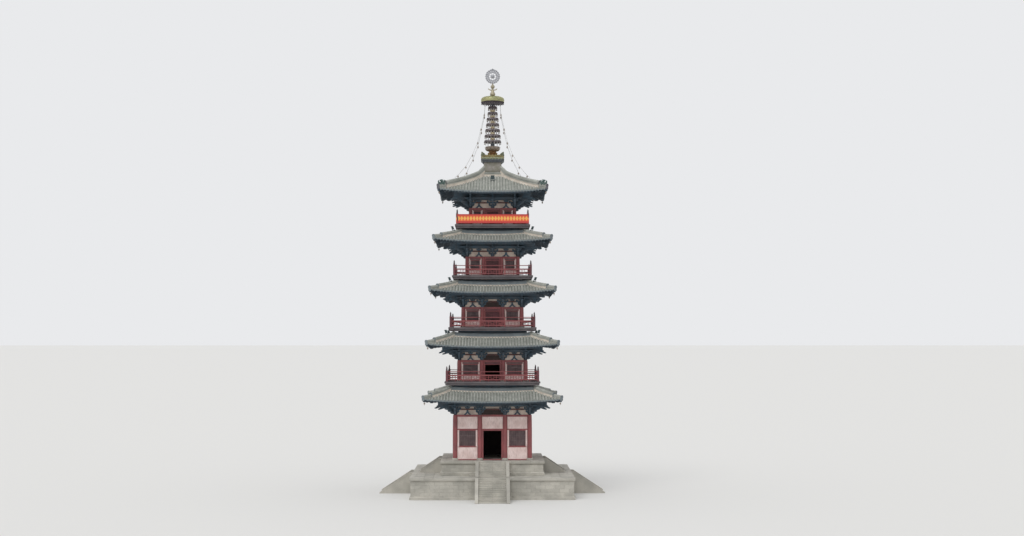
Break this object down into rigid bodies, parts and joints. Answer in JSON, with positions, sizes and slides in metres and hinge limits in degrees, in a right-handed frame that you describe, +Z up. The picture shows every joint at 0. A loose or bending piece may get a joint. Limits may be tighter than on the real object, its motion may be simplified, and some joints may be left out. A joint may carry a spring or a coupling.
{
  "type": "five-storey square timber pagoda, as a 1:2 scale model",
  "caption": "Square timber pagoda with tiled upswept eaves on bracket sets, railed galleries, a stepped stone base and a ringed metal spire held by chains; a 1:2 scale model.",
  "frame": {"origin": "ground level on the tower's vertical axis, at the centre of the base's underside", "axes": "+X to the right of the front, +Y to the back, +Z up"},
  "size_m": [11.0408, 11.0408, 21.1],
  "materials": {
    "stone": "tooled granite, matt",
    "plaster": "cream lime plaster, matt",
    "red_timber": "dark red oil paint on timber, satin",
    "door_timber": "dark red oil paint on lattice joinery, satin",
    "bracket_timber": "dark blue-green paint on timber, matt",
    "deck_timber": "weathered grey-brown timber, matt",
    "roof_tile": "unglazed grey clay tile, matt",
    "bronze": "cast bronze with a dull brown patina",
    "gilding": "worn gilding on cast bronze",
    "iron": "dark painted iron",
    "banner": "orange-red cotton cloth, matt"
  },
  "bodies": {
    "root": {"lower_terrace": "stone", "upper_plinth": "stone", "lower_steps_front": "stone", "upper_steps_front": "stone", "lower_steps_right": "stone", "upper_steps_right": "stone", "lower_steps_back": "stone", "upper_steps_back": "stone", "lower_steps_left": "stone", "upper_steps_left": "stone", "storey_1_columns": "red_timber", "storey_1_plaster_walls": "plaster", "storey_1_doors_and_windows": "door_timber", "storey_1_bracket_sets": "bracket_timber", "storey_1_tiled_roof": "roof_tile", "gallery_2_floor": "deck_timber", "gallery_2_balustrade": "red_timber", "storey_2_columns": "red_timber", "storey_2_plaster_walls": "plaster", "storey_2_doors_and_windows": "door_timber", "storey_2_bracket_sets": "bracket_timber", "storey_2_tiled_roof": "roof_tile", "gallery_3_floor": "deck_timber", "gallery_3_balustrade": "red_timber", "storey_3_columns": "red_timber", "storey_3_plaster_walls": "plaster", "storey_3_doors_and_windows": "door_timber", "storey_3_bracket_sets": "bracket_timber", "storey_3_tiled_roof": "roof_tile", "gallery_4_floor": "deck_timber", "gallery_4_balustrade": "red_timber", "storey_4_columns": "red_timber", "storey_4_plaster_walls": "plaster", "storey_4_doors_and_windows": "door_timber", "storey_4_bracket_sets": "bracket_timber", "storey_4_tiled_roof": "roof_tile", "gallery_5_floor": "deck_timber", "gallery_5_balustrade": "red_timber", "storey_5_columns": "red_timber", "storey_5_plaster_walls": "plaster", "storey_5_doors_and_windows": "door_timber", "storey_5_bracket_sets": "bracket_timber", "storey_5_tiled_roof": "roof_tile", "roof_crown": "stone", "spire_seat": "iron", "spire_lotus_base": "gilding", "spire_mast_and_rings": "bronze", "spire_canopy": "gilding", "spire_finial": "bronze", "spire_chain_front_left": "iron", "spire_chain_front_right": "iron", "spire_chain_back_right": "iron", "spire_chain_back_left": "iron", "gallery_5_banner": "banner"}
  },
  "joints": []
}
